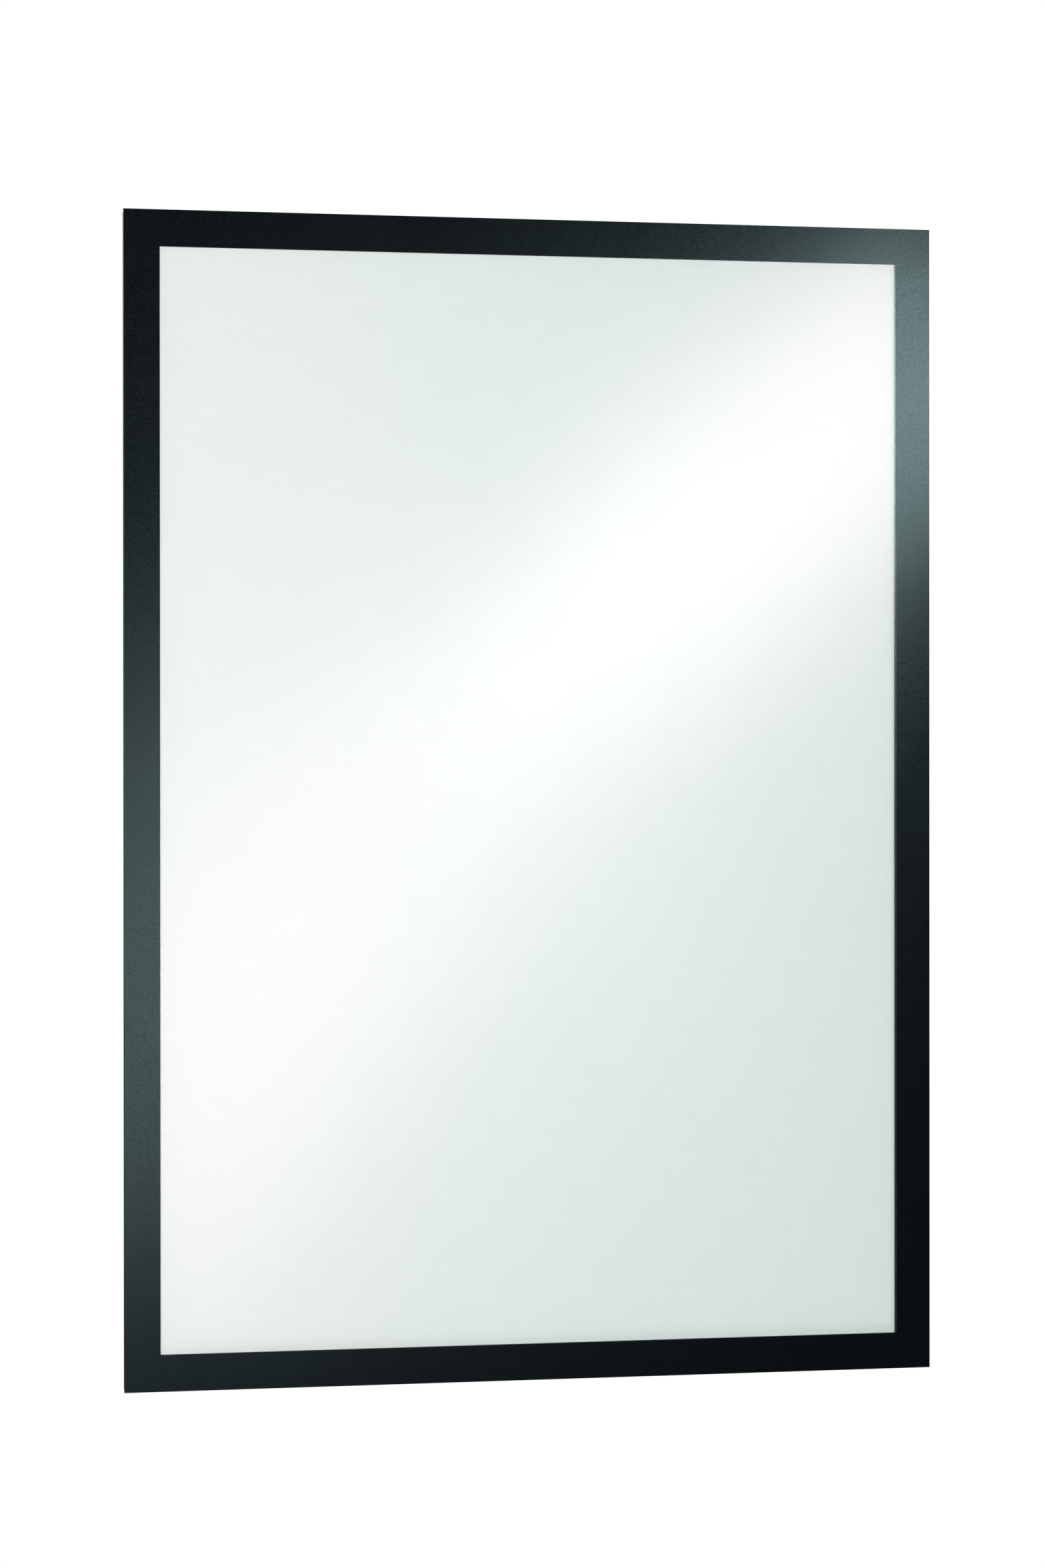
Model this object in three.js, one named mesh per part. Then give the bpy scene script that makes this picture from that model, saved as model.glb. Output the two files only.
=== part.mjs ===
// Poster pocket: a self-adhesive wall pocket whose magnetic front opens like a page.
//
// Millimetres, +Z up. The front faces -Y, +X is to the viewer's right, and the wall is the plane y = 0.
// The origin is on the wall, in the middle of the pocket. Every layer is a flat piece parallel to the wall,
// so layers are stacked by their depth: the distance from the wall towards the viewer.

import * as THREE from 'three';

// Driving dimensions

const posterWidth = 420;
const posterHeight = 594;
const posterMargin = 3; // room around the poster inside the window, on each side
const borderWidth = 20; // black border, from the window to the outer edge

const borderMaskThickness = 0.25;
const windowFilmThickness = 0.35;
const magnetThickness = 1.2;
const backFilmThickness = 0.4;
const sheetThickness = 0.25;
const adhesiveThickness = 0.4;
const glueLine = 0.05; // bonding layer between two laminated pieces

const fingerLip = 1; // the front reaches this far past the rear, so that a fingernail can lift it
const magnetInset = 0.1; // magnet edge to film edge, at the window and at the outside
const magnetBevel = 0.15; // eased edges of the extruded strip
const magnetButtGap = 0.3; // where a short strip meets a long one

const sheetClearance = 0.1; // between the sheet and the rear magnets around it
const sheetPlay = 0.1; // between the sheet and the back film

const adhesiveInset = 2; // adhesive edge to border edge, at the window and at the outside
const adhesiveEndGap = 1; // where a short strip ends beside a long one

const tapeThickness = 0.1;
const tapeLeafWidth = 12; // bonded on each leaf of the pocket
const tapeEndInset = 2; // tape end to the pocket's top and bottom edge
const tapeFoldRadius = 0.05; // inside of the fold
const tapeFoldInset = 0.15; // centre of the fold inside the pocket's outer edge
const tapeFoldSteps = 6;

// Sizes that follow from them

const windowWidth = posterWidth + 2 * posterMargin;
const windowHeight = posterHeight + 2 * posterMargin;
const outerWidth = windowWidth + 2 * borderWidth;
const outerHeight = windowHeight + 2 * borderWidth;

const sheetWidth = windowWidth + 2 * (magnetInset - sheetClearance);
const sheetHeight = windowHeight + 2 * (magnetInset - sheetClearance);

// Depth of the back of each layer, from the wall outwards. The front closes on the folded hinge tape.
const partingGap = 2 * (glueLine + tapeThickness + tapeFoldRadius);

const adhesiveDepth = 0;
const backFilmDepth = adhesiveDepth + adhesiveThickness + glueLine;
const backFilmFace = backFilmDepth + backFilmThickness;
const sheetDepth = backFilmFace + sheetPlay;
const rearMagnetDepth = backFilmFace + glueLine;
const rearMagnetFace = rearMagnetDepth + magnetThickness;
const frontMagnetDepth = rearMagnetFace + partingGap;
const windowFilmDepth = frontMagnetDepth + magnetThickness + glueLine;
const borderMaskDepth = windowFilmDepth + windowFilmThickness + glueLine;

// Materials

const clearFilm = new THREE.MeshStandardMaterial({
  color: 0xe9f1ef,
  roughness: 0.35,
  metalness: 0,
  transparent: true,
  opacity: 0.25,
});
const blackFilm = new THREE.MeshStandardMaterial({ color: 0x0f1314, roughness: 0.45, metalness: 0 });
const magnetRubber = new THREE.MeshStandardMaterial({ color: 0x231f1d, roughness: 0.7, metalness: 0 });
const whitePaper = new THREE.MeshStandardMaterial({ color: 0xeef2f0, roughness: 0.9, metalness: 0 });
const greyTape = new THREE.MeshStandardMaterial({ color: 0xa9aeb0, roughness: 0.8, metalness: 0 });
const blackTape = new THREE.MeshStandardMaterial({ color: 0x16191b, roughness: 0.6, metalness: 0 });

// Outlines, seen from the front

function rectangle(width, height) {
  const outline = new THREE.Shape();
  outline.moveTo(-width / 2, -height / 2);
  outline.lineTo(width / 2, -height / 2);
  outline.lineTo(width / 2, height / 2);
  outline.lineTo(-width / 2, height / 2);
  outline.closePath();
  return outline;
}

function borderOutline() {
  const outline = rectangle(outerWidth, outerHeight);
  outline.holes.push(rectangle(windowWidth, windowHeight));
  return outline;
}

// A flat piece of this outline, standing upright with its back at this depth
function layer(name, material, outline, depth, thickness, bevel = 0) {
  const geometry = new THREE.ExtrudeGeometry(outline, {
    depth: thickness - 2 * bevel,
    bevelEnabled: bevel > 0,
    bevelThickness: bevel,
    bevelSize: bevel,
    bevelOffset: -bevel,
    bevelSegments: 1,
  });
  geometry.translate(0, 0, bevel);
  geometry.rotateX(Math.PI / 2);
  const mesh = new THREE.Mesh(geometry, material);
  mesh.name = name;
  mesh.position.y = -depth;
  return mesh;
}

// Four strips round the window: the long sides run the full height, the short ones fit between them
function stripRing(name, material, { outerInset, innerInset, endGap, depth, thickness, bevel }) {
  const width = borderWidth - outerInset - innerInset;
  const longLength = outerHeight - 2 * outerInset;
  const shortLength = outerWidth - 2 * (outerInset + width + endGap);
  const sideX = outerWidth / 2 - outerInset - width / 2;
  const sideZ = outerHeight / 2 - outerInset - width / 2;
  const longOutline = rectangle(width, longLength);
  const shortOutline = rectangle(shortLength, width);
  const places = [
    ['left', longOutline, -sideX, 0],
    ['right', longOutline, sideX, 0],
    ['top', shortOutline, 0, sideZ],
    ['bottom', shortOutline, 0, -sideZ],
  ];
  return places.map(([side, outline, x, z]) => {
    const strip = layer(`${name}_${side}`, material, outline, depth, thickness, bevel);
    strip.position.x = x;
    strip.position.z = z;
    return strip;
  });
}

function magnetRing(name, filmInset, depth) {
  return stripRing(name, magnetRubber, {
    outerInset: filmInset + magnetInset,
    innerInset: magnetInset,
    endGap: magnetButtGap,
    depth,
    thickness: magnetThickness,
    bevel: magnetBevel,
  });
}

function adhesiveRing() {
  return stripRing('adhesive_strip', greyTape, {
    outerInset: adhesiveInset,
    innerInset: adhesiveInset,
    endGap: adhesiveEndGap,
    depth: adhesiveDepth,
    thickness: adhesiveThickness,
    bevel: 0,
  });
}

// The sheet stands on the bottom rear magnet and fills the recess between the four of them
function insertSheet() {
  const outline = rectangle(sheetWidth, sheetHeight);
  return layer('insert_sheet', whitePaper, outline, sheetDepth, sheetThickness);
}

// The hinge tape lies folded between the left magnets, one leaf bonded on each, with its fold just inside the
// outer edge. Its section is drawn with x to the right and depth upwards, about the centre of the fold.
function hingeTape() {
  const leafLength = tapeLeafWidth + magnetInset - tapeFoldInset;
  const outerRadius = tapeFoldRadius + tapeThickness;
  const section = new THREE.Shape();
  section.moveTo(leafLength, outerRadius);
  section.lineTo(0, outerRadius);
  section.absarc(0, 0, outerRadius, Math.PI / 2, 1.5 * Math.PI, false);
  section.lineTo(leafLength, -outerRadius);
  section.lineTo(leafLength, -tapeFoldRadius);
  section.lineTo(0, -tapeFoldRadius);
  section.absarc(0, 0, tapeFoldRadius, 1.5 * Math.PI, Math.PI / 2, true);
  section.lineTo(leafLength, tapeFoldRadius);
  section.closePath();

  const length = outerHeight - 2 * tapeEndInset;
  const geometry = new THREE.ExtrudeGeometry(section, {
    depth: length,
    curveSegments: tapeFoldSteps,
    bevelEnabled: false,
  });
  geometry.translate(0, 0, -length / 2);
  const tape = new THREE.Mesh(geometry, blackTape);
  tape.name = 'hinge_tape';
  tape.position.x = -outerWidth / 2 + tapeFoldInset;
  tape.position.y = -(rearMagnetFace + partingGap / 2);
  return tape;
}

// The leaf that stays on the wall
function backLeaf() {
  const leaf = new THREE.Group();
  const sheet = rectangle(outerWidth - 2 * fingerLip, outerHeight - 2 * fingerLip);
  leaf.add(...adhesiveRing());
  leaf.add(layer('back_film', clearFilm, sheet, backFilmDepth, backFilmThickness));
  leaf.add(...magnetRing('rear_magnet', fingerLip, rearMagnetDepth));
  leaf.add(insertSheet());
  leaf.add(hingeTape());
  return leaf;
}

// The leaf that opens
function frontLeaf() {
  const leaf = new THREE.Group();
  const sheet = rectangle(outerWidth, outerHeight);
  leaf.add(...magnetRing('front_magnet', 0, frontMagnetDepth));
  leaf.add(layer('window_film', clearFilm, sheet, windowFilmDepth, windowFilmThickness));
  leaf.add(layer('border_mask', blackFilm, borderOutline(), borderMaskDepth, borderMaskThickness));
  return leaf;
}

const posterPocket = new THREE.Group();
posterPocket.add(backLeaf(), frontLeaf());

export default posterPocket;
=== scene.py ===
"""Looks of the poster pocket: a clear matte front with a black border, shut by magnet strips.

Metres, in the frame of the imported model: the front faces -Y, +X is to the viewer's right, +Z is up and
the wall is the plane y = 0. Depth means the distance from the wall to the viewer's side, so y = -depth.
"""

import math

import bmesh
import bpy
from mathutils import Matrix, Vector


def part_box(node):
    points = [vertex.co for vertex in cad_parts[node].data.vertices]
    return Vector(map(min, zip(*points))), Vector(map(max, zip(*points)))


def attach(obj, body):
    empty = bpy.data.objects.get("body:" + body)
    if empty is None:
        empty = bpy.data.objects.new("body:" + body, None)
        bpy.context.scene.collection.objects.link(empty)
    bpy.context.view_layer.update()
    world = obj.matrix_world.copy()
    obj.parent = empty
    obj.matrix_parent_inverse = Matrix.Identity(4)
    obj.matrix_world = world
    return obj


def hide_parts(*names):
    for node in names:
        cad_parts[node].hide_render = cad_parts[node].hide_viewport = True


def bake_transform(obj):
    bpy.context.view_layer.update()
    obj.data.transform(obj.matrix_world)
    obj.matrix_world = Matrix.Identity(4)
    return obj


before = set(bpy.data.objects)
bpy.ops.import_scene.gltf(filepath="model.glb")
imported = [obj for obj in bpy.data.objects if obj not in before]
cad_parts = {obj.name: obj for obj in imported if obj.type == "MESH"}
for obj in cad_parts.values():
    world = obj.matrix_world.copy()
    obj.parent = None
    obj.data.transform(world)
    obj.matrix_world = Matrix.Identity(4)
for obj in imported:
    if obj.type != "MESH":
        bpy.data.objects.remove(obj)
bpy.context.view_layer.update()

MM = 0.001
SEAM = 0.0001 * MM  # points this close together are one

# Camera, where the photograph was taken from
CAMERA_LENS = 142.116
CAMERA_PLACE = Vector((-1.0364, -3.2566, 0.0224))
CAMERA_YAW = math.radians(17.559)
CAMERA_PITCH = math.radians(-0.2295)
CAMERA_ROLL = math.radians(-0.0394)

# Studio
FLOOR_DROP = 1.8
FLOOR_RADIUS = 3.2
FLOOR_FADE_START = 0.7
FLOOR_FADE_END = 0.96 * FLOOR_RADIUS
FLOOR_SIDES = 160
FLOOR_SPECKLE = 0.02
FLOOR_SPECKLE_CONTRAST = 0.3
FLOOR_ROUGHNESS = (0.75, 0.9)
BACKDROP_EDGE = 0.25  # how far round the white backdrop takes to reach full strength
STRIP_NEAR_END = Vector((0.568, -0.739, 0.335))
STRIP_FAR_END = Vector((0.417, -3.488, -0.437))
STRIP_JOIN = 0.37  # where the brighter near part ends, as a share of the strip's length
STRIP_NEAR_WIDTH = 0.182
STRIP_NEAR_RADIANCE = 7.45
STRIP_FAR_WIDTH = 0.364
STRIP_FAR_RADIANCE = 3.24
KEY_PLACE = Vector((-0.68, -1.73, 0.228))
KEY_SIZE = (0.5, 0.5)
KEY_RADIANCE = 35.2
STUDIO_DIM = (0.030, 0.042, 0.045, 1.0)
WHITE = (1.0, 1.0, 1.0, 1.0)

# Front border
BORDER_WIDTH = 20 * MM
BORDER_EASED_EDGE = 0.06 * MM
BORDER_EASE_STEPS = 4
BORDER_ROUGHNESS = (0.107, 0.263)
BORDER_FINE_GRAIN = 0.25 * MM
BORDER_FINE_CONTRAST = 0.2
BORDER_FINE_DEPTH = 0.0006 * MM
BORDER_PATCHES = 90 * MM
BORDER_IOR = 1.5
BORDER_MIRROR = (0.5, 0.1)  # on the face, and along the cut edge
LAMINATE_SINK = 0.07 * MM  # takes a bonded piece across its glue line and just into its film

# Films
FILM_PAINTED_RIM = 1.25 * MM  # on the window's free side, where the bonded film shows the dark strips behind it; there it mirrors more and in a teal tint, a painted reflection that stands in for its back face
# how much more the film mirrors in the painted rim reflection
FILM_PAINTED_RIM_GAIN = 0.4
FILM_CUT = 0.05 * MM  # what counts as the cut edge of a film
FILM_CUT_DULLING = 0.45
FILM_RIPPLE = 0.10 * MM  # slow waviness of a film that was laid by hand
FILM_WAVES = 70 * MM
FILM_PATCHES = 120 * MM
FILM_HAZE = 0.012
WINDOW_ROUGHNESS = 0.185
BACK_ROUGHNESS = 0.16
FILM_ROUGHNESS_SPREAD = 0.075
FILM_MIRROR_IOR = 1.63  # above that of one face, because both faces of a loose film mirror
FILM_HINGE_SIDE_FROM = -190 * MM  # on the hinge side of this the window film leans in what it mirrors and gets painted reflection and painted warm light, and on the free side of this it is drawn flat without them
FILM_HINGE_SIDE_END = 60 * MM  # and on the free side of this as drawn flat
FILM_PAINTED_HINGE_REFLECTION_GAIN = 0.25  # how much more it mirrors on the hinge side, a painted reflection that brightens the highlight there
FILM_LEAN = 0.013  # slope by which it leans there, in what it mirrors
FILM_LEAN_LEVEL = 45 * MM  # height of the line it leans about, in the middle of the window
FILM_LEAN_RISE = 0.83  # rise of that line to the free side
FILM_GRAIN = 0.7 * MM  # fine matte texture of the front
FILM_GRAIN_DEPTH = 0.003 * MM
FILM_GRAIN_CONTRAST = 0.3

# Insert sheet
PAPER_FIBRE = 0.5 * MM
PAPER_FIBRE_CONTRAST = 0.18
PAPER_FIBRE_DEPTH = 0.004 * MM
PAPER_CLOUD = 9 * MM
PAPER_CLOUD_CONTRAST = 0.25
PAPER_ROUGHNESS = (0.82, 0.95)
PAPER_MIRROR = 0.25

# Magnet strips
MAGNET_EDGE_RADIUS = 0.15 * MM
MAGNET_LINE_PITCH = 0.8 * MM
MAGNET_LINE_DEPTH = 0.018 * MM
MAGNET_OUTLINE_STEP = 0.1 * MM
MAGNET_EDGE_STEPS = 3
MAGNET_LINES_FROM = 0.2  # share of the edge radius that counts with the broad faces
RUBBER_LINE_WIDTH = 0.7 * MM
RUBBER_LINE_RANGE = (0.3, 0.7)  # of the noise, from no line to full line
RUBBER_LINE_STRETCH = 60.0
RUBBER_LINE_DEPTH = 0.010 * MM
RUBBER_GRAIN = 0.6 * MM
RUBBER_GRAIN_CONTRAST = 0.3
RUBBER_GRAIN_DEPTH = 0.004 * MM
RUBBER_LINE_SHARE = 0.6
RUBBER_ROUGHNESS = (0.58, 0.78)
RUBBER_MIRROR = 0.08

# Wall adhesive
ADHESIVE_CORNER_RADIUS = 1.2 * MM
ADHESIVE_EDGE_WANDER = 0.18 * MM
ADHESIVE_OUTLINE_STEP = 1.5 * MM
ADHESIVE_CORNER_STEPS = 6
ADHESIVE_WANDER_SCALE = 110.0
ADHESIVE_SEED_STEP = 3.0
ADHESIVE_CELLS = 0.8 * MM
ADHESIVE_CELL_CONTRAST = 0.28
ADHESIVE_CELL_DEPTH = 0.02 * MM
ADHESIVE_CLOUD = 12 * MM
ADHESIVE_CLOUD_CONTRAST = 0.22
ADHESIVE_CLOUD_SHARE = 0.45
ADHESIVE_ROUGHNESS = (0.35, 0.6)

# Hinge tape
TAPE_THICKNESS = 0.1 * MM
TAPE_FOLD_STEPS = 28
TAPE_GRAIN = 0.45 * MM
TAPE_GRAIN_CONTRAST = 0.3
TAPE_GRAIN_DEPTH = 0.004 * MM
TAPE_PATCHES = 25 * MM
TAPE_ROUGHNESS = (0.42, 0.58)
TAPE_MIRROR = 0.3

# Handling marks
HAZE_RANGE = (0.42, 0.72)  # of the noise, from no haze to full haze
SPECKS_PER_METRE = 140.0
SPECK_RADIUS = (0.02, 0.05)  # full inside the first, gone past the second, as shares of a cell
SPECKS_KEPT = (0.93, 0.94)

# Colours, linear
BORDER_BLACK = (0.0007, 0.0010, 0.0016, 1.0)
BORDER_BLACK_WORN = (0.0012, 0.0016, 0.0023, 1.0)
BORDER_SHINE = (0.70, 1.0, 1.02, 1.0)
BORDER_DUST = (0.030, 0.040, 0.042, 1.0)
FILM_CLEAR = (0.972, 0.991, 0.987, 1.0)
FILM_CLEAR_DEEP = (0.966, 0.989, 0.984, 1.0)
# on the hinge side the film tints less: painted warm light on that side of the window
FILM_CLEAR_PAINTED_WARM_LIGHT = (0.985, 0.994, 0.990, 1.0)
FILM_SHINE = (1.0, 0.76, 0.83, 1.0)
# teal tint of the painted rim reflection
FILM_PAINTED_RIM_SHINE = (0.72, 1.0, 1.0, 1.0)
FILM_CUT_EDGE = (0.010, 0.012, 0.013, 1.0)
PAPER_LIGHT = (0.873, 0.905, 0.891, 1.0)
PAPER_SHADE = (0.836, 0.867, 0.854, 1.0)
RUBBER_DARK = (0.0036, 0.0043, 0.0047, 1.0)
RUBBER_DUSTY = (0.0135, 0.0145, 0.0150, 1.0)
TAPE_BLACK = (0.0042, 0.0055, 0.0062, 1.0)
TAPE_BLACK_WORN = (0.0090, 0.0105, 0.0115, 1.0)
ADHESIVE_GREY = (0.385, 0.405, 0.415, 1.0)
ADHESIVE_PALE = (0.520, 0.540, 0.550, 1.0)
FLOOR_PALE = (0.86, 0.86, 0.86, 1.0)


# Node helpers


def feed(tree, socket, value):
    """Links an output to this input, or sets the input's own value."""
    if isinstance(value, bpy.types.NodeSocket):
        tree.links.new(value, socket)
    else:
        socket.default_value = value


def add_node(tree, kind, settings=None, **inputs):
    """A new node with these properties, and with inputs named as in Blender but for their spaces."""
    new = tree.nodes.new(kind)
    for name, value in (settings or {}).items():
        setattr(new, name, value)
    for name, value in inputs.items():
        feed(tree, new.inputs[name.replace("_", " ")], value)
    return new


def maths(tree, operation, *values):
    new = tree.nodes.new("ShaderNodeMath")
    new.operation = operation
    for socket, value in zip(new.inputs, values):
        feed(tree, socket, value)
    return new.outputs[0]


def ramp(tree, value, low, high, start=0.0, end=1.0):
    """Value taken from low..high to start..end, and held there beyond."""
    new = add_node(tree, "ShaderNodeMapRange", Value=value, From_Min=low, From_Max=high)
    feed(tree, new.inputs["To Min"], start)
    feed(tree, new.inputs["To Max"], end)
    return new.outputs["Result"]


def mix_colours(tree, share, first, second):
    new = tree.nodes.new("ShaderNodeMix")
    new.data_type = "RGBA"
    colour_inputs = [socket for socket in new.inputs if socket.type == "RGBA"]
    feed(tree, new.inputs[0], share)
    feed(tree, colour_inputs[0], first)
    feed(tree, colour_inputs[1], second)
    return next(socket for socket in new.outputs if socket.type == "RGBA")


def new_group(kind, name, inputs, outputs):
    """An empty node group with these named sockets, and its two end nodes."""
    group = bpy.data.node_groups.new(name, kind)
    for label, socket_type in inputs:
        group.interface.new_socket(name=label, in_out="INPUT", socket_type=socket_type)
    for label, socket_type in outputs:
        group.interface.new_socket(name=label, in_out="OUTPUT", socket_type=socket_type)
    return group, group.nodes.new("NodeGroupInput"), group.nodes.new("NodeGroupOutput")


def place_group(tree, group, **inputs):
    new = tree.nodes.new("ShaderNodeGroup")
    new.node_tree = group
    for name, value in inputs.items():
        feed(tree, new.inputs[name.replace("_", " ")], value)
    return new.outputs


def new_material(name):
    material = bpy.data.materials.new(name)
    material.use_nodes = True
    tree = material.node_tree
    tree.nodes.clear()
    output = tree.nodes.new("ShaderNodeOutputMaterial")
    return material, tree, output.inputs["Surface"]


def object_place(tree):
    return tree.nodes.new("ShaderNodeTexCoord").outputs["Object"]


def bump(tree, *layers):
    """A normal from heights, each given with what it is multiplied by to make metres."""
    total = 0.0
    for height, depth in layers:
        total = maths(tree, "MULTIPLY_ADD", height, depth, total)
    return add_node(tree, "ShaderNodeBump", Height=total, Distance=1.0).outputs["Normal"]


def outside(tree, place, half_width, half_height):
    """1 beyond a rectangle about the middle of the front, 0 inside it."""
    parts = add_node(tree, "ShaderNodeSeparateXYZ", Vector=place)
    past_side = maths(tree, "GREATER_THAN", maths(tree, "ABSOLUTE", parts.outputs["X"]), half_width)
    past_end = maths(tree, "GREATER_THAN", maths(tree, "ABSOLUTE", parts.outputs["Z"]), half_height)
    return maths(tree, "MAXIMUM", past_side, past_end)


# Effects that several finishes share


def make_grain():
    """Fine even mottle of a matte surface, from 0 to 1. Size is about one grain's width, in metres."""
    group, start, end = new_group(
        "ShaderNodeTree",
        "matte_grain",
        [("Place", "NodeSocketVector"), ("Size", "NodeSocketFloat"), ("Contrast", "NodeSocketFloat")],
        [("Grain", "NodeSocketFloat")],
    )
    scale = maths(group, "DIVIDE", 1.0, start.outputs["Size"])
    noise = add_node(
        group,
        "ShaderNodeTexNoise",
        Vector=start.outputs["Place"],
        Scale=scale,
        Detail=2.5,
        Roughness=0.7,
    )
    low = maths(group, "SUBTRACT", 0.5, start.outputs["Contrast"])
    high = maths(group, "ADD", 0.5, start.outputs["Contrast"])
    feed(group, end.inputs["Grain"], ramp(group, noise.outputs["Fac"], low, high))
    return group


def make_handling():
    """Faint hazy patches, and sparse specks of dust, both from 0 to 1."""
    group, start, end = new_group(
        "ShaderNodeTree",
        "handling_marks",
        [("Place", "NodeSocketVector"), ("Patch Size", "NodeSocketFloat")],
        [("Haze", "NodeSocketFloat"), ("Dust", "NodeSocketFloat")],
    )
    patch_scale = maths(group, "DIVIDE", 1.0, start.outputs["Patch Size"])
    patches = add_node(
        group,
        "ShaderNodeTexNoise",
        Vector=start.outputs["Place"],
        Scale=patch_scale,
        Detail=4.0,
        Roughness=0.6,
        Distortion=0.8,
    )
    feed(group, end.inputs["Haze"], ramp(group, patches.outputs["Fac"], *HAZE_RANGE))
    specks = add_node(
        group,
        "ShaderNodeTexVoronoi",
        Vector=start.outputs["Place"],
        Scale=SPECKS_PER_METRE,
    )
    near_speck = ramp(group, specks.outputs["Distance"], *SPECK_RADIUS, 1.0, 0.0)
    chosen = add_node(group, "ShaderNodeSeparateColor", Color=specks.outputs["Color"])
    kept = ramp(group, chosen.outputs["Red"], *SPECKS_KEPT)
    feed(group, end.inputs["Dust"], maths(group, "MULTIPLY", near_speck, kept))
    return group


def make_ripple():
    """Slow waviness of a thin film, from 0 to 1. Length is about that of one wave, in metres."""
    group, start, end = new_group(
        "ShaderNodeTree",
        "film_ripple",
        [("Place", "NodeSocketVector"), ("Length", "NodeSocketFloat")],
        [("Ripple", "NodeSocketFloat")],
    )
    scale = maths(group, "DIVIDE", 1.0, start.outputs["Length"])
    noise = add_node(
        group,
        "ShaderNodeTexNoise",
        Vector=start.outputs["Place"],
        Scale=scale,
        Detail=1.0,
        Roughness=0.4,
    )
    feed(group, end.inputs["Ripple"], noise.outputs["Fac"])
    return group


def make_drawn_lines():
    """Fine lines along a strip, as its die leaves them, from its own map: across, then along."""
    group, start, end = new_group(
        "ShaderNodeTree",
        "drawn_lines",
        [
            ("Map", "NodeSocketVector"),
            ("Line Width", "NodeSocketFloat"),
            ("Stretch", "NodeSocketFloat"),
        ],
        [("Lines", "NodeSocketFloat")],
    )
    parts = add_node(group, "ShaderNodeSeparateXYZ", Vector=start.outputs["Map"])
    along = maths(group, "DIVIDE", parts.outputs["Y"], start.outputs["Stretch"])
    drawn = add_node(group, "ShaderNodeCombineXYZ", X=parts.outputs["X"], Y=along)
    scale = maths(group, "DIVIDE", 1.0, start.outputs["Line Width"])
    noise = add_node(
        group,
        "ShaderNodeTexNoise",
        Vector=drawn.outputs["Vector"],
        Scale=scale,
        Detail=3.0,
        Roughness=0.6,
    )
    feed(group, end.inputs["Lines"], ramp(group, noise.outputs["Fac"], *RUBBER_LINE_RANGE))
    return group


matte_grain = make_grain()
handling_marks = make_handling()
film_ripple = make_ripple()
drawn_lines = make_drawn_lines()


# Finishes


def grain_of(tree, place, size, contrast):
    return place_group(tree, matte_grain, Place=place, Size=size, Contrast=contrast)["Grain"]


def border_film(border_half):
    """Black satin film of the front border, duller along its cut edge."""
    material, tree, surface = new_material("border_film")
    place = object_place(tree)
    grain = grain_of(tree, place, FILM_GRAIN, FILM_GRAIN_CONTRAST)
    fine = grain_of(tree, place, BORDER_FINE_GRAIN, BORDER_FINE_CONTRAST)
    ripple = place_group(tree, film_ripple, Place=place, Length=FILM_WAVES)["Ripple"]
    marks = place_group(tree, handling_marks, Place=place, Patch_Size=BORDER_PATCHES)
    colour = mix_colours(tree, grain, BORDER_BLACK, BORDER_BLACK_WORN)
    colour = mix_colours(tree, marks["Dust"], colour, BORDER_DUST)
    rough = ramp(tree, grain, 0.0, 1.0, *BORDER_ROUGHNESS)
    rough = maths(tree, "MULTIPLY_ADD", marks["Haze"], FILM_HAZE, rough)
    cut_edge = outside(tree, place, border_half.x - FILM_CUT, border_half.z - FILM_CUT)
    shader = add_node(
        tree,
        "ShaderNodeBsdfPrincipled",
        Base_Color=colour,
        Roughness=rough,
        IOR=BORDER_IOR,
        Specular_IOR_Level=ramp(tree, cut_edge, 0.0, 1.0, *BORDER_MIRROR),
        Specular_Tint=BORDER_SHINE,
        Normal=bump(tree, (grain, FILM_GRAIN_DEPTH), (fine, BORDER_FINE_DEPTH), (ripple, FILM_RIPPLE)),
    )
    feed(tree, surface, shader.outputs["BSDF"])
    return material


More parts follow.
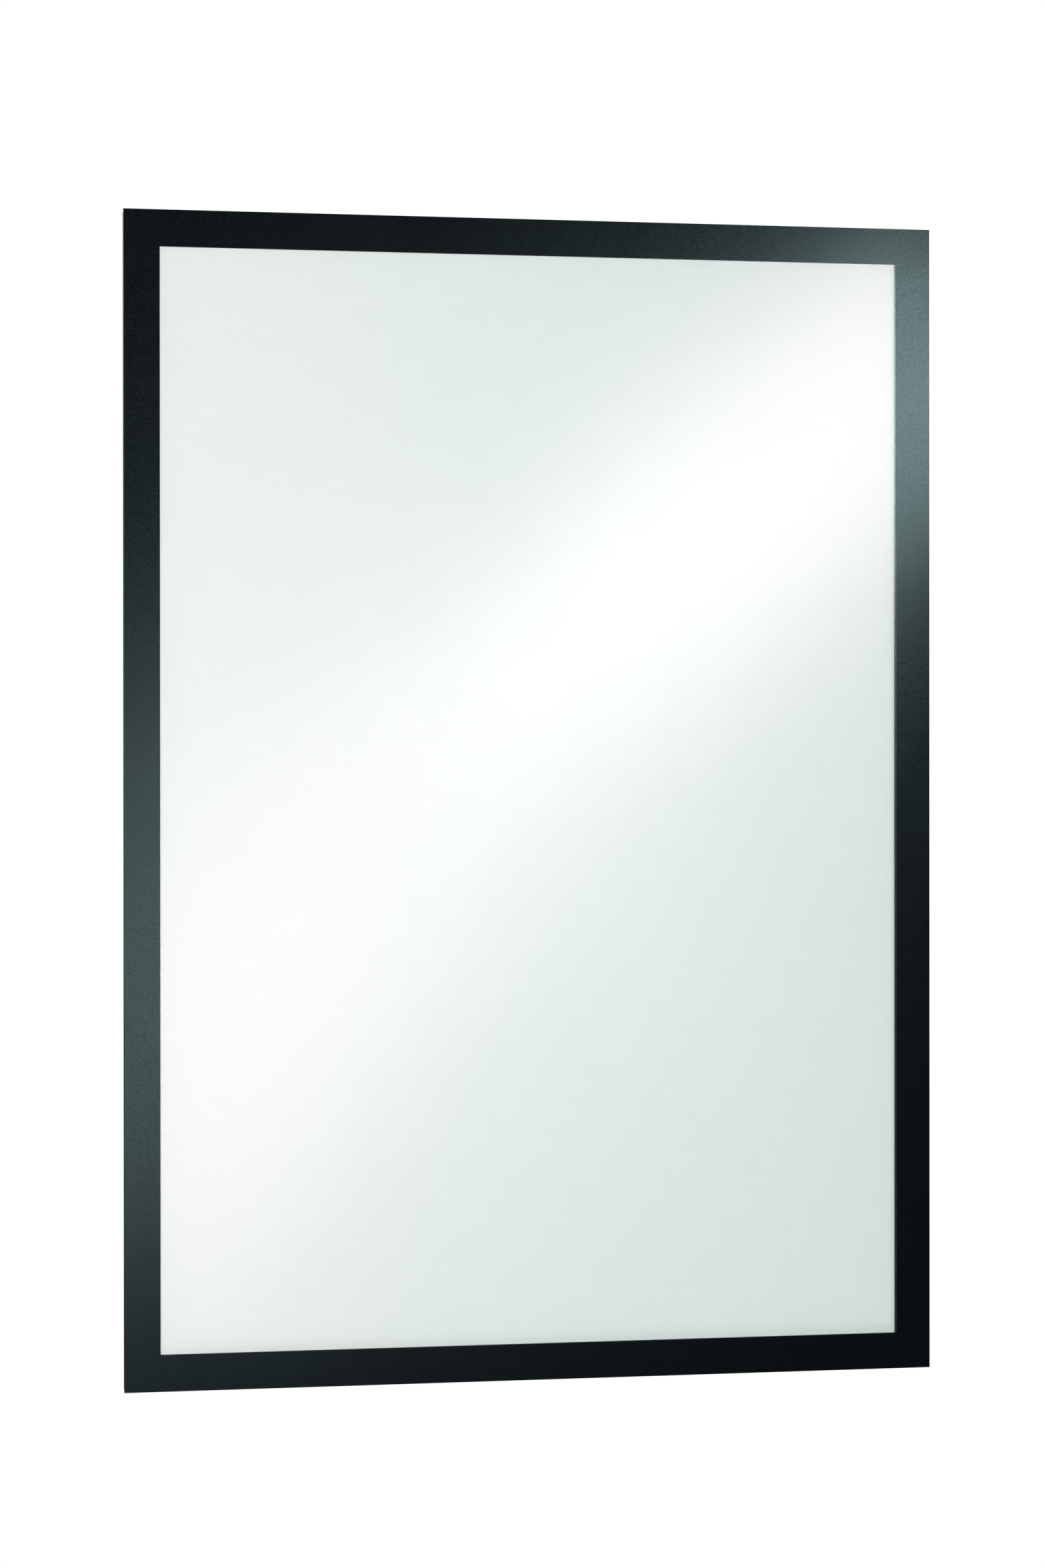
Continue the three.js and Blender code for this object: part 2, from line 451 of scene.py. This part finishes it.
def clear_film(name, roughness, hinge_lean_and_light, film_half, window_half):
    """Clear film with a fine matte face: it mirrors a little by angle and shows what is behind it. Along
    the window's free side it mirrors more and in a teal tint, a painted reflection.

    The fourth argument is 1 for a film that leans near the hinge in what it mirrors and there gets a
    painted reflection and painted warm light, and 0 for one drawn flat.
    """
    material, tree, surface = new_material(name)
    place = object_place(tree)
    grain = grain_of(tree, place, FILM_GRAIN, FILM_GRAIN_CONTRAST)
    ripple = place_group(tree, film_ripple, Place=place, Length=FILM_WAVES)["Ripple"]
    marks = place_group(tree, handling_marks, Place=place, Patch_Size=FILM_PATCHES)
    parts = add_node(tree, "ShaderNodeSeparateXYZ", Vector=place).outputs
    # painted reflection: along the window's free side the film mirrors more and in a teal tint
    painted_rim_reflection = maths(tree, "GREATER_THAN", parts["X"], window_half.x - FILM_PAINTED_RIM)
    # painted: on the hinge side the film mirrors more and tints less, painted reflection and warm light;
    # it also leans there in what it mirrors
    hinge_lean_and_painted_light = add_node(
        tree,
        "ShaderNodeMapRange",
        {"interpolation_type": "SMOOTHSTEP"},
        Value=parts["X"],
        From_Min=FILM_HINGE_SIDE_END,
        From_Max=FILM_HINGE_SIDE_FROM,
        To_Max=hinge_lean_and_light,
    ).outputs["Result"]
    lean_line = maths(tree, "MULTIPLY_ADD", parts["X"], FILM_LEAN_RISE, FILM_LEAN_LEVEL)
    lean = maths(tree, "MULTIPLY", hinge_lean_and_painted_light, maths(tree, "SUBTRACT", lean_line, parts["Z"]))
    cut_edge = outside(tree, place, film_half.x - FILM_CUT, film_half.z - FILM_CUT)
    smoothest = roughness - FILM_ROUGHNESS_SPREAD
    roughest = roughness + FILM_ROUGHNESS_SPREAD
    rough = ramp(tree, grain, 0.0, 1.0, smoothest, roughest)
    rough = maths(tree, "MULTIPLY_ADD", marks["Haze"], FILM_HAZE, rough)
    rough = maths(tree, "MULTIPLY_ADD", cut_edge, FILM_CUT_DULLING, rough)
    # the painted rim reflection takes a teal tint
    colour = mix_colours(tree, painted_rim_reflection, FILM_SHINE, FILM_PAINTED_RIM_SHINE)
    shine = add_node(
        tree,
        "ShaderNodeBsdfPrincipled",
        Base_Color=mix_colours(tree, cut_edge, colour, FILM_CUT_EDGE),
        Metallic=1.0,
        Roughness=rough,
        Specular_Tint=mix_colours(tree, cut_edge, WHITE, FILM_CUT_EDGE),
        Normal=bump(tree, (grain, FILM_GRAIN_DEPTH), (ripple, FILM_RIPPLE), (lean, FILM_LEAN)),
    )
    tint_share = maths(tree, "MULTIPLY_ADD", marks["Dust"], 0.5, maths(tree, "MULTIPLY", grain, 0.5))
    tint = mix_colours(tree, tint_share, FILM_CLEAR, FILM_CLEAR_DEEP)
    # painted warm light: the film tints less on the hinge side
    tint = mix_colours(tree, hinge_lean_and_painted_light, tint, FILM_CLEAR_PAINTED_WARM_LIGHT)
    through = add_node(tree, "ShaderNodeBsdfTransparent", Color=tint)
    mirrored = add_node(tree, "ShaderNodeFresnel", IOR=FILM_MIRROR_IOR).outputs["Fac"]
    # painted reflection: the film mirrors more along the free-side rim
    painted_rim_mirrored = maths(tree, "MULTIPLY", mirrored, painted_rim_reflection)
    mirrored = maths(tree, "MULTIPLY_ADD", painted_rim_mirrored, FILM_PAINTED_RIM_GAIN, mirrored)
    # painted reflection: the film mirrors more on the hinge side
    painted_hinge_mirrored = maths(tree, "MULTIPLY", mirrored, hinge_lean_and_painted_light)
    mirrored = maths(tree, "MULTIPLY_ADD", painted_hinge_mirrored, FILM_PAINTED_HINGE_REFLECTION_GAIN, mirrored)
    backfacing = tree.nodes.new("ShaderNodeNewGeometry").outputs["Backfacing"]
    outer_face = maths(tree, "SUBTRACT", 1.0, backfacing)
    share = maths(tree, "MAXIMUM", maths(tree, "MULTIPLY", mirrored, outer_face), cut_edge)
    film = add_node(tree, "ShaderNodeMixShader")
    feed(tree, film.inputs[0], share)
    feed(tree, film.inputs[1], through.outputs["BSDF"])
    feed(tree, film.inputs[2], shine.outputs["BSDF"])
    feed(tree, surface, film.outputs["Shader"])
    return material


def white_paper():
    """Smooth uncoated white paper."""
    material, tree, surface = new_material("white_paper")
    place = object_place(tree)
    fibre = grain_of(tree, place, PAPER_FIBRE, PAPER_FIBRE_CONTRAST)
    cloud = grain_of(tree, place, PAPER_CLOUD, PAPER_CLOUD_CONTRAST)
    share = maths(tree, "MULTIPLY_ADD", cloud, 0.5, maths(tree, "MULTIPLY", fibre, 0.5))
    shader = add_node(
        tree,
        "ShaderNodeBsdfPrincipled",
        Base_Color=mix_colours(tree, share, PAPER_SHADE, PAPER_LIGHT),
        Roughness=ramp(tree, fibre, 0.0, 1.0, *PAPER_ROUGHNESS),
        Specular_IOR_Level=PAPER_MIRROR,
        Normal=bump(tree, (fibre, PAPER_FIBRE_DEPTH)),
    )
    feed(tree, surface, shader.outputs["BSDF"])
    return material


def magnet_rubber():
    """Drawn magnetic rubber, dull black with fine lines along the strip."""
    material, tree, surface = new_material("magnet_rubber")
    strip_map = add_node(tree, "ShaderNodeUVMap", {"uv_map": "strip_map"}).outputs["UV"]
    place = object_place(tree)
    lines = place_group(
        tree,
        drawn_lines,
        Map=strip_map,
        Line_Width=RUBBER_LINE_WIDTH,
        Stretch=RUBBER_LINE_STRETCH,
    )["Lines"]
    grain = grain_of(tree, place, RUBBER_GRAIN, RUBBER_GRAIN_CONTRAST)
    grain_part = maths(tree, "MULTIPLY", grain, 1.0 - RUBBER_LINE_SHARE)
    share = maths(tree, "MULTIPLY_ADD", lines, RUBBER_LINE_SHARE, grain_part)
    shader = add_node(
        tree,
        "ShaderNodeBsdfPrincipled",
        Base_Color=mix_colours(tree, share, RUBBER_DARK, RUBBER_DUSTY),
        Roughness=ramp(tree, share, 0.0, 1.0, *RUBBER_ROUGHNESS),
        Specular_IOR_Level=RUBBER_MIRROR,
        Normal=bump(tree, (lines, RUBBER_LINE_DEPTH), (grain, RUBBER_GRAIN_DEPTH)),
    )
    feed(tree, surface, shader.outputs["BSDF"])
    return material


def hinge_tape_film():
    """Thin black tape with a dull finish."""
    material, tree, surface = new_material("hinge_tape_film")
    place = object_place(tree)
    grain = grain_of(tree, place, TAPE_GRAIN, TAPE_GRAIN_CONTRAST)
    marks = place_group(tree, handling_marks, Place=place, Patch_Size=TAPE_PATCHES)
    shader = add_node(
        tree,
        "ShaderNodeBsdfPrincipled",
        Base_Color=mix_colours(tree, grain, TAPE_BLACK, TAPE_BLACK_WORN),
        Roughness=ramp(tree, marks["Haze"], 0.0, 1.0, *TAPE_ROUGHNESS),
        Specular_IOR_Level=TAPE_MIRROR,
        Normal=bump(tree, (grain, TAPE_GRAIN_DEPTH)),
    )
    feed(tree, surface, shader.outputs["BSDF"])
    return material


def wall_adhesive():
    """Grey double-sided tape, a little cloudy."""
    material, tree, surface = new_material("wall_adhesive")
    place = object_place(tree)
    cells = grain_of(tree, place, ADHESIVE_CELLS, ADHESIVE_CELL_CONTRAST)
    cloud = grain_of(tree, place, ADHESIVE_CLOUD, ADHESIVE_CLOUD_CONTRAST)
    cell_part = maths(tree, "MULTIPLY", cells, 1.0 - ADHESIVE_CLOUD_SHARE)
    share = maths(tree, "MULTIPLY_ADD", cloud, ADHESIVE_CLOUD_SHARE, cell_part)
    shader = add_node(
        tree,
        "ShaderNodeBsdfPrincipled",
        Base_Color=mix_colours(tree, share, ADHESIVE_GREY, ADHESIVE_PALE),
        Roughness=ramp(tree, cells, 0.0, 1.0, *ADHESIVE_ROUGHNESS),
        Normal=bump(tree, (cells, ADHESIVE_CELL_DEPTH)),
    )
    feed(tree, surface, shader.outputs["BSDF"])
    return material


def studio_floor():
    """Pale floor that fades into the white around it where the camera sees its rim."""
    material, tree, surface = new_material("studio_floor")
    place = object_place(tree)
    speckle = grain_of(tree, place, FLOOR_SPECKLE, FLOOR_SPECKLE_CONTRAST)
    paint = add_node(
        tree,
        "ShaderNodeBsdfPrincipled",
        Base_Color=FLOOR_PALE,
        Roughness=ramp(tree, speckle, 0.0, 1.0, *FLOOR_ROUGHNESS),
    )
    parts = add_node(tree, "ShaderNodeSeparateXYZ", Vector=place)
    squares = maths(tree, "MULTIPLY", parts.outputs["X"], parts.outputs["X"])
    squares = maths(tree, "MULTIPLY_ADD", parts.outputs["Y"], parts.outputs["Y"], squares)
    radius = maths(tree, "SQRT", squares)
    fade = ramp(tree, radius, FLOOR_FADE_START, FLOOR_FADE_END)
    seen = tree.nodes.new("ShaderNodeLightPath").outputs["Is Camera Ray"]
    glow = add_node(tree, "ShaderNodeEmission", Color=WHITE, Strength=1.0)
    blend = add_node(tree, "ShaderNodeMixShader")
    feed(tree, blend.inputs[0], maths(tree, "MULTIPLY", fade, seen))
    feed(tree, blend.inputs[1], paint.outputs["BSDF"])
    feed(tree, blend.inputs[2], glow.outputs["Emission"])
    feed(tree, surface, blend.outputs["Shader"])
    return material


# Shapes


def add_object(name, mesh, material=None):
    new = bpy.data.objects.new(name, mesh)
    bpy.context.scene.collection.objects.link(new)
    if material is not None:
        mesh.materials.clear()
        mesh.materials.append(material)
    return new


def mesh_of(name, points, faces):
    """A mesh from points and faces, with its normals outwards."""
    mesh = bpy.data.meshes.new(name)
    mesh.from_pydata(points, [], faces)
    shape = bmesh.new()
    shape.from_mesh(mesh)
    bmesh.ops.recalc_face_normals(shape, faces=shape.faces)
    shape.to_mesh(mesh)
    shape.free()
    return mesh


def eased_corner(centre, radius, start_angle, steps):
    """Points of a quarter round in a section, from start_angle a quarter turn on."""
    points = []
    for step in range(steps + 1):
        angle = start_angle + math.pi / 2 * step / steps
        points.append((centre[0] + radius * math.cos(angle), centre[1] + radius * math.sin(angle)))
    return points


def border_ring():
    """The die-cut border with square corners. Its section is inset from the outer edge, then depth."""
    low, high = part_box("border_mask")
    back = -high.y - LAMINATE_SINK
    front = -low.y
    ease = BORDER_EASED_EDGE
    inner_corner = eased_corner((BORDER_WIDTH - ease, front - ease), ease, 0.0, BORDER_EASE_STEPS)
    outer_corner = eased_corner((ease, front - ease), ease, math.pi / 2, BORDER_EASE_STEPS)
    section = [(0.0, back), (BORDER_WIDTH, back)] + inner_corner + outer_corner
    points = []
    for side_x, side_z in ((-1, -1), (1, -1), (1, 1), (-1, 1)):
        for inset, depth in section:
            points.append((side_x * (high.x - inset), -depth, side_z * (high.z - inset)))
    count = len(section)
    faces = []
    for corner in range(4):
        following = (corner + 1) % 4
        for index in range(count):
            after = (index + 1) % count
            faces.append(
                (
                    corner * count + index,
                    corner * count + after,
                    following * count + after,
                    following * count + index,
                )
            )
    return mesh_of("border_ring", points, faces)


def folded_tape():
    """The hinge tape: two leaves and the fold between them, as one bent strip of even thickness."""
    low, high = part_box("hinge_tape")
    outer = (high.y - low.y) / 2
    inner = outer - TAPE_THICKNESS
    centre = Vector((low.x + outer, (low.y + high.y) / 2))
    outer_side = [(high.x, centre.y + outer)]
    inner_side = [(high.x, centre.y + inner)]
    for step in range(TAPE_FOLD_STEPS + 1):
        angle = math.pi / 2 + math.pi * step / TAPE_FOLD_STEPS
        reach = Vector((math.cos(angle), math.sin(angle)))
        outer_side.append(tuple(centre + outer * reach))
        inner_side.append(tuple(centre + inner * reach))
    outer_side.append((high.x, centre.y - outer))
    inner_side.append((high.x, centre.y - inner))
    section = outer_side + inner_side[::-1]
    count = len(section)
    points = [(x, y, low.z) for x, y in section] + [(x, y, high.z) for x, y in section]
    faces = []
    for index in range(count):
        after = (index + 1) % count
        faces.append((index, after, count + after, count + index))
    half = len(outer_side)
    for index in range(half - 1):
        opposite = count - 1 - index
        faces.append((index, index + 1, opposite - 1, opposite))
        faces.append((count + index, count + index + 1, count + opposite - 1, count + opposite))
    return mesh_of("folded_tape", points, faces)


def close_prism(tree, outline, length, material):
    """Fills an outline, draws it out along Z about its middle, and stores the strip's own map."""
    flat = add_node(tree, "GeometryNodeFillCurve", {"mode": "NGONS"}, Curve=outline)
    rise = add_node(tree, "ShaderNodeCombineXYZ", Z=length)
    drawn = add_node(tree, "GeometryNodeExtrudeMesh", {"mode": "FACES"}, Mesh=flat.outputs["Mesh"])
    feed(tree, drawn.inputs["Offset"], rise.outputs["Vector"])
    feed(tree, drawn.inputs["Individual"], False)
    start_cap = add_node(tree, "GeometryNodeFlipFaces", Mesh=flat.outputs["Mesh"])
    joined = tree.nodes.new("GeometryNodeJoinGeometry")
    tree.links.new(drawn.outputs["Mesh"], joined.inputs[0])
    tree.links.new(start_cap.outputs["Mesh"], joined.inputs[0])
    closed = add_node(tree, "GeometryNodeMergeByDistance", Geometry=joined.outputs[0], Distance=SEAM)
    middle = add_node(tree, "ShaderNodeCombineXYZ", Z=maths(tree, "MULTIPLY", length, -0.5))
    centred = add_node(tree, "GeometryNodeTransform", Geometry=closed.outputs[0])
    feed(tree, centred.inputs["Translation"], middle.outputs["Vector"])
    place = tree.nodes.new("GeometryNodeInputPosition").outputs["Position"]
    parts = add_node(tree, "ShaderNodeSeparateXYZ", Vector=place)
    across = maths(tree, "ADD", parts.outputs["X"], parts.outputs["Y"])
    strip_map = add_node(tree, "ShaderNodeCombineXYZ", X=across, Y=parts.outputs["Z"])
    stored = add_node(
        tree,
        "GeometryNodeStoreNamedAttribute",
        {"data_type": "FLOAT2", "domain": "CORNER"},
        Geometry=centred.outputs[0],
        Name="strip_map",
    )
    feed(tree, stored.inputs["Value"], strip_map.outputs["Vector"])
    single = add_node(tree, "GeometryNodeRealizeInstances", Geometry=stored.outputs[0])
    painted = add_node(tree, "GeometryNodeSetMaterial", Geometry=single.outputs[0], Material=material)
    return painted.outputs["Geometry"]


def resampled(tree, curve, step):
    fine = add_node(tree, "GeometryNodeResampleCurve", {"mode": "LENGTH"}, Curve=curve, Length=step)
    return fine.outputs["Curve"]


def make_magnet_tree():
    """A magnet strip along Z: a rounded section with shallow lines from its die on both broad faces."""
    tree, start, end = new_group(
        "GeometryNodeTree",
        "magnet_strip",
        [
            ("Length", "NodeSocketFloat"),
            ("Width", "NodeSocketFloat"),
            ("Thickness", "NodeSocketFloat"),
            ("Edge Radius", "NodeSocketFloat"),
            ("Line Pitch", "NodeSocketFloat"),
            ("Line Depth", "NodeSocketFloat"),
            ("Outline Step", "NodeSocketFloat"),
            ("Material", "NodeSocketMaterial"),
        ],
        [("Geometry", "NodeSocketGeometry")],
    )
    size = start.outputs
    block = add_node(
        tree,
        "GeometryNodeCurvePrimitiveQuadrilateral",
        {"mode": "RECTANGLE"},
        Width=size["Width"],
        Height=size["Thickness"],
    )
    rounded = add_node(tree, "GeometryNodeFilletCurve", {"mode": "POLY"}, Curve=block.outputs["Curve"])
    feed(tree, rounded.inputs["Radius"], size["Edge Radius"])
    feed(tree, rounded.inputs["Count"], MAGNET_EDGE_STEPS)
    fine = resampled(tree, rounded.outputs["Curve"], size["Outline Step"])
    place = tree.nodes.new("GeometryNodeInputPosition").outputs["Position"]
    parts = add_node(tree, "ShaderNodeSeparateXYZ", Vector=place)
    turn = maths(tree, "MULTIPLY", parts.outputs["X"], math.tau)
    turn = maths(tree, "DIVIDE", turn, size["Line Pitch"])
    wave = maths(tree, "MULTIPLY_ADD", maths(tree, "COSINE", turn), 0.5, -0.5)
    half = maths(tree, "MULTIPLY", size["Thickness"], 0.5)
    broad_from = maths(tree, "MULTIPLY_ADD", size["Edge Radius"], -MAGNET_LINES_FROM, half)
    broad = maths(tree, "GREATER_THAN", maths(tree, "ABSOLUTE", parts.outputs["Y"]), broad_from)
    cut = maths(tree, "MULTIPLY", maths(tree, "MULTIPLY", wave, size["Line Depth"]), broad)
    sided = maths(tree, "MULTIPLY", cut, maths(tree, "SIGN", parts.outputs["Y"]))
    offset = add_node(tree, "ShaderNodeCombineXYZ", Y=sided)
    lined = add_node(tree, "GeometryNodeSetPosition", Geometry=fine)
    feed(tree, lined.inputs["Offset"], offset.outputs["Vector"])
    solid = close_prism(tree, lined.outputs["Geometry"], size["Length"], size["Material"])
    feed(tree, end.inputs["Geometry"], solid)
    return tree


def make_adhesive_tree():
    """A strip of adhesive tape in X and Y, with its thickness along Z and slightly wandering edges."""
    tree, start, end = new_group(
        "GeometryNodeTree",
        "adhesive_strip",
        [
            ("Length", "NodeSocketFloat"),
            ("Width", "NodeSocketFloat"),
            ("Thickness", "NodeSocketFloat"),
            ("Corner Radius", "NodeSocketFloat"),
            ("Edge Wander", "NodeSocketFloat"),
            ("Outline Step", "NodeSocketFloat"),
            ("Seed", "NodeSocketFloat"),
            ("Material", "NodeSocketMaterial"),
        ],
        [("Geometry", "NodeSocketGeometry")],
    )
    size = start.outputs
    block = add_node(
        tree,
        "GeometryNodeCurvePrimitiveQuadrilateral",
        {"mode": "RECTANGLE"},
        Width=size["Width"],
        Height=size["Length"],
    )
    rounded = add_node(tree, "GeometryNodeFilletCurve", {"mode": "POLY"}, Curve=block.outputs["Curve"])
    feed(tree, rounded.inputs["Radius"], size["Corner Radius"])
    feed(tree, rounded.inputs["Count"], ADHESIVE_CORNER_STEPS)
    fine = resampled(tree, rounded.outputs["Curve"], size["Outline Step"])
    place = tree.nodes.new("GeometryNodeInputPosition").outputs["Position"]
    noise = add_node(
        tree,
        "ShaderNodeTexNoise",
        {"noise_dimensions": "4D"},
        Vector=place,
        W=size["Seed"],
        Scale=ADHESIVE_WANDER_SCALE,
        Detail=3.0,
    )
    inward = maths(tree, "MULTIPLY", noise.outputs["Fac"], size["Edge Wander"])
    parts = add_node(tree, "ShaderNodeSeparateXYZ", Vector=place)
    shift = maths(tree, "MULTIPLY", maths(tree, "SIGN", parts.outputs["X"]), inward)
    offset = add_node(tree, "ShaderNodeCombineXYZ", X=maths(tree, "MULTIPLY", shift, -1.0))
    cut = add_node(tree, "GeometryNodeSetPosition", Geometry=fine)
    feed(tree, cut.inputs["Offset"], offset.outputs["Vector"])
    solid = close_prism(tree, cut.outputs["Geometry"], size["Thickness"], size["Material"])
    feed(tree, end.inputs["Geometry"], solid)
    return tree


def grown_mesh(name, tree, values):
    """The plain mesh that a geometry tree gives for these inputs."""
    holder = add_object(name + "_holder", bpy.data.meshes.new(name + "_holder"))
    modifier = holder.modifiers.new(name, "NODES")
    modifier.node_group = tree
    for label, value in values.items():
        modifier[tree.interface.items_tree[label].identifier] = value
    depsgraph = bpy.context.evaluated_depsgraph_get()
    mesh = bpy.data.meshes.new_from_object(holder.evaluated_get(depsgraph), depsgraph=depsgraph)
    mesh.name = name
    holder_mesh = holder.data
    bpy.data.objects.remove(holder)
    bpy.data.meshes.remove(holder_mesh)
    return mesh


magnet_tree = make_magnet_tree()
adhesive_tree = make_adhesive_tree()


def magnet_strip(node, material):
    """A lined magnet strip in the place of this node, pressed against the film that carries it."""
    low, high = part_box(node)
    front_strip = node.startswith("front")
    back_y = high.y if front_strip else high.y + LAMINATE_SINK
    front_y = low.y - LAMINATE_SINK if front_strip else low.y
    upright = high.z - low.z > high.x - low.x
    mesh = grown_mesh(
        node + "_lined",
        magnet_tree,
        {
            "Length": max(high.z - low.z, high.x - low.x),
            "Width": min(high.z - low.z, high.x - low.x),
            "Thickness": back_y - front_y,
            "Edge Radius": MAGNET_EDGE_RADIUS,
            "Line Pitch": MAGNET_LINE_PITCH,
            "Line Depth": MAGNET_LINE_DEPTH,
            "Outline Step": MAGNET_OUTLINE_STEP,
            "Material": material,
        },
    )
    middle = Vector(((low.x + high.x) / 2, (back_y + front_y) / 2, (low.z + high.z) / 2))
    turn = Matrix.Identity(4) if upright else Matrix.Rotation(math.pi / 2, 4, "Y")
    mesh.transform(Matrix.Translation(middle) @ turn)
    return add_object(node + "_lined", mesh)


def adhesive_strip(node, seed, material):
    """A strip of wall adhesive in the place of this node, reaching the back film."""
    low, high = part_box(node)
    front_y = low.y - LAMINATE_SINK
    upright = high.z - low.z > high.x - low.x
    mesh = grown_mesh(
        node + "_cut",
        adhesive_tree,
        {
            "Length": max(high.z - low.z, high.x - low.x),
            "Width": min(high.z - low.z, high.x - low.x),
            "Thickness": high.y - front_y,
            "Corner Radius": ADHESIVE_CORNER_RADIUS,
            "Edge Wander": ADHESIVE_EDGE_WANDER,
            "Outline Step": ADHESIVE_OUTLINE_STEP,
            "Seed": seed,
            "Material": material,
        },
    )
    middle = Vector(((low.x + high.x) / 2, (high.y + front_y) / 2, (low.z + high.z) / 2))
    stand = Matrix.Rotation(math.pi / 2, 4, "X")
    turn = Matrix.Identity(4) if upright else Matrix.Rotation(math.pi / 2, 4, "Y")
    mesh.transform(Matrix.Translation(middle) @ turn @ stand)
    return add_object(node + "_cut", mesh)


# Pieces on the pocket


def dress_node(node, material):
    """Gives a CAD solid that keeps its own shape its finish."""
    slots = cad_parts[node].data.materials
    slots.clear()
    slots.append(material)


border_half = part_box("border_mask")[1]
window_half = border_half - Vector((BORDER_WIDTH, 0.0, BORDER_WIDTH))
for film, film_roughness, film_hinge_lean_and_light in (
    ("window_film", WINDOW_ROUGHNESS, 1.0),
    ("back_film", BACK_ROUGHNESS, 0.0),
):
    film_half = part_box(film)[1]
    dress_node(film, clear_film(film + "_finish", film_roughness, film_hinge_lean_and_light, film_half, window_half))
dress_node("insert_sheet", white_paper())

border = add_object("border_face", border_ring(), border_film(border_half))
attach(border, "front_leaf")
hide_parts("border_mask")

tape = add_object("hinge_fold", folded_tape(), hinge_tape_film())
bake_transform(tape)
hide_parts("hinge_tape")

rubber = magnet_rubber()
for leaf_name, layer in (("front_leaf", "front_magnet"), ("back_leaf", "rear_magnet")):
    for side in ("left", "right", "top", "bottom"):
        strip = magnet_strip(f"{layer}_{side}", rubber)
        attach(strip, leaf_name)
        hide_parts(f"{layer}_{side}")

adhesive = wall_adhesive()
for seed, side in enumerate(("left", "right", "top", "bottom")):
    strip = adhesive_strip(f"adhesive_strip_{side}", ADHESIVE_SEED_STEP * seed, adhesive)
    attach(strip, "back_leaf")
    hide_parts(f"adhesive_strip_{side}")


# Studio


def add_floor():
    points = []
    for step in range(FLOOR_SIDES):
        angle = math.tau * step / FLOOR_SIDES
        points.append((FLOOR_RADIUS * math.cos(angle), FLOOR_RADIUS * math.sin(angle), -FLOOR_DROP))
    mesh = bpy.data.meshes.new("floor")
    mesh.from_pydata(points, [], [tuple(range(FLOOR_SIDES))])
    floor = add_object("floor", mesh, studio_floor())


def add_softbox(name, place, along, size, radiance):
    """An area lamp that faces the pocket, with its longer side along this direction."""
    lamp = bpy.data.lights.new(name, "AREA")
    lamp.shape = "RECTANGLE"
    lamp.size, lamp.size_y = size
    lamp.energy = radiance * math.pi * size[0] * size[1]
    softbox = bpy.data.objects.new(name, lamp)
    bpy.context.scene.collection.objects.link(softbox)
    axis_x = Vector(along).normalized()
    away = Vector(place)
    axis_z = (away - axis_x * away.dot(axis_x)).normalized()
    axis_y = axis_z.cross(axis_x)
    turn = Matrix((axis_x, axis_y, axis_z)).transposed().to_4x4()
    softbox.matrix_world = Matrix.Translation(place) @ turn
    softbox.visible_camera = False


def add_world():
    """White backdrop behind the pocket, seen all round by the camera, and a dim studio before it."""
    world = bpy.data.worlds.new("studio")
    bpy.context.scene.world = world
    world.use_nodes = True
    tree = world.node_tree
    tree.nodes.clear()
    output = tree.nodes.new("ShaderNodeOutputWorld")
    rays = tree.nodes.new("ShaderNodeLightPath").outputs
    way = tree.nodes.new("ShaderNodeTexCoord").outputs["Generated"]
    parts = add_node(tree, "ShaderNodeSeparateXYZ", Vector=way)
    backdrop = ramp(tree, parts.outputs["Y"], 0.0, BACKDROP_EDGE)
    shown = maths(tree, "MAXIMUM", rays["Is Camera Ray"], rays["Is Transmission Ray"])
    share = maths(tree, "MAXIMUM", shown, backdrop)
    light = add_node(tree, "ShaderNodeBackground", Color=mix_colours(tree, share, STUDIO_DIM, WHITE))
    feed(tree, output.inputs["Surface"], light.outputs["Background"])


def add_camera():
    data = bpy.data.cameras.new("camera")
    data.lens = CAMERA_LENS
    camera = bpy.data.objects.new("camera", data)
    bpy.context.scene.collection.objects.link(camera)
    yaw = Matrix.Rotation(-CAMERA_YAW, 4, "Z")
    pitch = Matrix.Rotation(math.pi / 2 + CAMERA_PITCH, 4, "X")
    roll = Matrix.Rotation(CAMERA_ROLL, 4, "Z")
    camera.matrix_world = Matrix.Translation(CAMERA_PLACE) @ yaw @ pitch @ roll
    bpy.context.scene.camera = camera


add_camera()
add_floor()
add_world()
strip_join = STRIP_NEAR_END.lerp(STRIP_FAR_END, STRIP_JOIN)
for strip_name, strip_start, strip_end, strip_width, strip_radiance in (
    ("strip_softbox_near", STRIP_NEAR_END, strip_join, STRIP_NEAR_WIDTH, STRIP_NEAR_RADIANCE),
    ("strip_softbox_far", strip_join, STRIP_FAR_END, STRIP_FAR_WIDTH, STRIP_FAR_RADIANCE),
):
    strip_line = strip_start - strip_end
    strip_size = (strip_line.length, strip_width)
    strip_middle = (strip_start + strip_end) / 2
    add_softbox(strip_name, strip_middle, strip_line, strip_size, strip_radiance)
add_softbox("key_softbox", KEY_PLACE, KEY_PLACE.cross(Vector((0, 0, 1))), KEY_SIZE, KEY_RADIANCE)
bpy.context.scene.view_settings.view_transform = "Standard"
